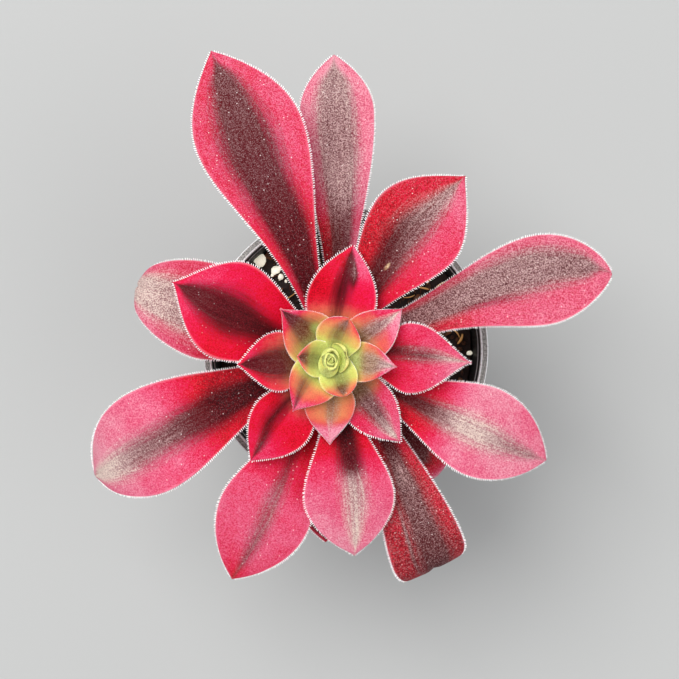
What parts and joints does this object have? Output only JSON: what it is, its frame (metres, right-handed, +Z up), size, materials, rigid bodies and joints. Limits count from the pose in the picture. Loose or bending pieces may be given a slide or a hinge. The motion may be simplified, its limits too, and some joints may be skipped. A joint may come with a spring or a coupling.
{
  "type": "potted aeonium",
  "caption": "Potted succulent: a rosette of spatula-shaped, fringed red leaves on a short woody stem, rooted in soil in a round tapered pot with a rolled rim.",
  "frame": {"origin": "centre of the pot's underside, on the surface that the pot stands on", "axes": "+Z up along the pot's axis; +X and +Y level, with the longest leaf pointing between +Y and -X"},
  "size_m": [0.1547, 0.1559, 0.1318],
  "materials": {
    "pot": "glossy black moulded plastic",
    "soil": "damp dark peat with perlite",
    "stem": "dry grey-brown bark with leaf scars",
    "lower_leaves": "velvety dusky maroon leaf",
    "outer_leaves": "velvety crimson leaf with a dark midrib and pale fringe",
    "middle_leaves": "velvety bright red leaf with a dark midrib",
    "inner_leaves": "velvety coral leaf with a green base",
    "heart": "smooth lime-yellow young leaf"
  },
  "bodies": {
    "root": {"pot": "pot", "soil": "soil", "stem": "stem", "lower_leaf_1": "lower_leaves", "lower_leaf_2": "lower_leaves", "lower_leaf_3": "lower_leaves", "outer_leaf_1": "outer_leaves", "outer_leaf_2": "outer_leaves", "outer_leaf_3": "outer_leaves", "outer_leaf_4": "outer_leaves", "outer_leaf_5": "outer_leaves", "outer_leaf_6": "outer_leaves", "outer_leaf_7": "outer_leaves", "outer_leaf_8": "outer_leaves", "outer_leaf_9": "outer_leaves", "outer_leaf_10": "outer_leaves", "middle_leaf_1": "middle_leaves", "middle_leaf_2": "middle_leaves", "middle_leaf_3": "middle_leaves", "middle_leaf_4": "middle_leaves", "middle_leaf_5": "middle_leaves", "inner_leaf_1": "inner_leaves", "inner_leaf_2": "inner_leaves", "inner_leaf_3": "inner_leaves", "inner_leaf_4": "inner_leaves", "inner_leaf_5": "inner_leaves", "inner_leaf_6": "inner_leaves", "inner_leaf_7": "inner_leaves", "inner_leaf_8": "inner_leaves", "heart": "heart"}
  },
  "joints": []
}
